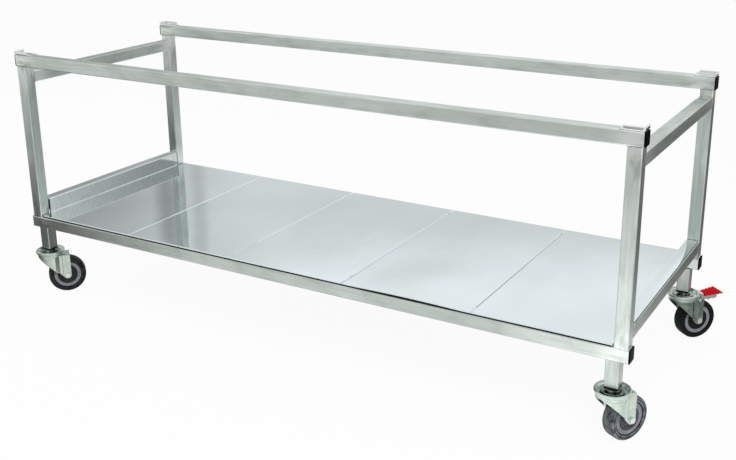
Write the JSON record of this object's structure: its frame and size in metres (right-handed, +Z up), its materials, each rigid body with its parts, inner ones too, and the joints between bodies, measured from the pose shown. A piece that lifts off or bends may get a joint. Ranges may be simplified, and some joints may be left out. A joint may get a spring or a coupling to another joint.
{
  "type": "food service trolley",
  "caption": "Open stainless tube trolley on swivel castors, with a flat bottom shelf and top corner brackets that carry a counter-top food display unit.",
  "frame": {"origin": "on the floor, under the middle of the frame", "axes": "+X along the length to the right, +Y from front to rear, +Z up"},
  "size_m": [1.727, 0.6894, 0.679],
  "materials": {
    "stainless_tube": "satin ground stainless square tube",
    "stainless_sheet": "bright cold-rolled stainless sheet",
    "black_plastic": "moulded, matt black",
    "black_rubber": "matt black",
    "zinc_plated_steel": "bright zinc plated",
    "bearing_steel": "polished",
    "grey_plastic": "moulded, mid grey",
    "dark_plastic": "moulded, dark grey",
    "tyre": "dark grey thermoplastic rubber",
    "red_plastic": "moulded, red"
  },
  "bodies": {
    "frame": {"top_rail_front": "stainless_tube", "top_rail_rear": "stainless_tube", "lower_rail_front": "stainless_tube", "lower_rail_rear": "stainless_tube", "top_cross_rail_left": "stainless_tube", "top_cross_rail_right": "stainless_tube", "lower_cross_rail_left": "stainless_tube", "lower_cross_rail_right": "stainless_tube", "post_front_left": "stainless_tube", "post_front_right": "stainless_tube", "post_rear_left": "stainless_tube", "post_rear_right": "stainless_tube", "leg_front_left": "stainless_tube", "leg_front_right": "stainless_tube", "leg_rear_left": "stainless_tube", "leg_rear_right": "stainless_tube", "end_caps_left": "black_plastic", "end_caps_right": "black_plastic", "corner_bracket_front_left": "stainless_sheet", "corner_bracket_front_right": "stainless_sheet", "corner_bracket_rear_left": "stainless_sheet", "corner_bracket_rear_right": "stainless_sheet", "shelf_panel_1": "stainless_sheet", "shelf_panel_2": "stainless_sheet", "shelf_panel_3": "stainless_sheet", "shelf_panel_4": "stainless_sheet", "shelf_panel_5": "stainless_sheet", "castor_expanders": "black_rubber", "king_bolts": "zinc_plated_steel", "swivel_races": "zinc_plated_steel", "swivel_balls": "bearing_steel"},
    "castor_front_left": {"fork_front_left": "zinc_plated_steel", "axle_front_left": "zinc_plated_steel"},
    "wheel_front_left": {"wheel_core_front_left": "grey_plastic", "tyre_front_left": "tyre", "thread_guards_front_left": "dark_plastic"},
    "castor_front_right": {"fork_front_right": "zinc_plated_steel", "axle_front_right": "zinc_plated_steel"},
    "wheel_front_right": {"wheel_core_front_right": "grey_plastic", "tyre_front_right": "tyre", "thread_guards_front_right": "dark_plastic"},
    "castor_rear_left": {"fork_rear_left": "zinc_plated_steel", "axle_rear_left": "zinc_plated_steel", "brake_pin_rear_left": "zinc_plated_steel"},
    "wheel_rear_left": {"wheel_core_rear_left": "grey_plastic", "tyre_rear_left": "tyre", "thread_guards_rear_left": "dark_plastic"},
    "brake_rear_left": {"brake_lever_rear_left": "zinc_plated_steel", "brake_pedal_rear_left": "red_plastic", "brake_shoe_rear_left": "black_rubber"},
    "castor_rear_right": {"fork_rear_right": "zinc_plated_steel", "axle_rear_right": "zinc_plated_steel", "brake_pin_rear_right": "zinc_plated_steel"},
    "wheel_rear_right": {"wheel_core_rear_right": "grey_plastic", "tyre_rear_right": "tyre", "thread_guards_rear_right": "dark_plastic"},
    "brake_rear_right": {"brake_lever_rear_right": "zinc_plated_steel", "brake_pedal_rear_right": "red_plastic", "brake_shoe_rear_right": "black_rubber"}
  },
  "joints": [
    {"name": "swivel_front_left", "type": "hinge", "parent": "frame", "child": "castor_front_left", "pos_m": [-0.802, -0.278, 0.133], "axis": [0, 0, 1], "continuous": true},
    {"name": "wheel_spin_front_left", "type": "hinge", "parent": "castor_front_left", "child": "wheel_front_left", "pos_m": [-0.77641, -0.24857, 0.05], "axis": [-0.7547, 0.6561, 0], "continuous": true},
    {"name": "swivel_front_right", "type": "hinge", "parent": "frame", "child": "castor_front_right", "pos_m": [0.802, -0.278, 0.133], "axis": [0, 0, 1], "continuous": true},
    {"name": "wheel_spin_front_right", "type": "hinge", "parent": "castor_front_right", "child": "wheel_front_right", "pos_m": [0.82091, -0.24389, 0.05], "axis": [-0.8746, 0.4848, 0], "continuous": true},
    {"name": "swivel_rear_left", "type": "hinge", "parent": "frame", "child": "castor_rear_left", "pos_m": [-0.802, 0.278, 0.133], "axis": [0, 0, 1], "continuous": true},
    {"name": "wheel_spin_rear_left", "type": "hinge", "parent": "castor_rear_left", "child": "wheel_rear_left", "pos_m": [-0.77799, 0.30873, 0.05], "axis": [-0.788, 0.6157, 0], "continuous": true},
    {"name": "brake_pedal_rear_left", "type": "hinge", "parent": "castor_rear_left", "child": "brake_rear_left", "pos_m": [-0.77922, 0.30716, 0.1055], "axis": [-0.788, 0.6157, 0], "range_deg": [0, 12]},
    {"name": "swivel_rear_right", "type": "hinge", "parent": "frame", "child": "castor_rear_right", "pos_m": [0.802, 0.278, 0.133], "axis": [0, 0, 1], "continuous": true},
    {"name": "wheel_spin_rear_right", "type": "hinge", "parent": "castor_rear_right", "child": "wheel_rear_right", "pos_m": [0.82759, 0.30743, 0.05], "axis": [-0.7547, 0.6561, 0], "continuous": true},
    {"name": "brake_pedal_rear_right", "type": "hinge", "parent": "castor_rear_right", "child": "brake_rear_right", "pos_m": [0.82627, 0.30592, 0.1055], "axis": [-0.7547, 0.6561, 0], "range_deg": [0, 12]}
  ]
}
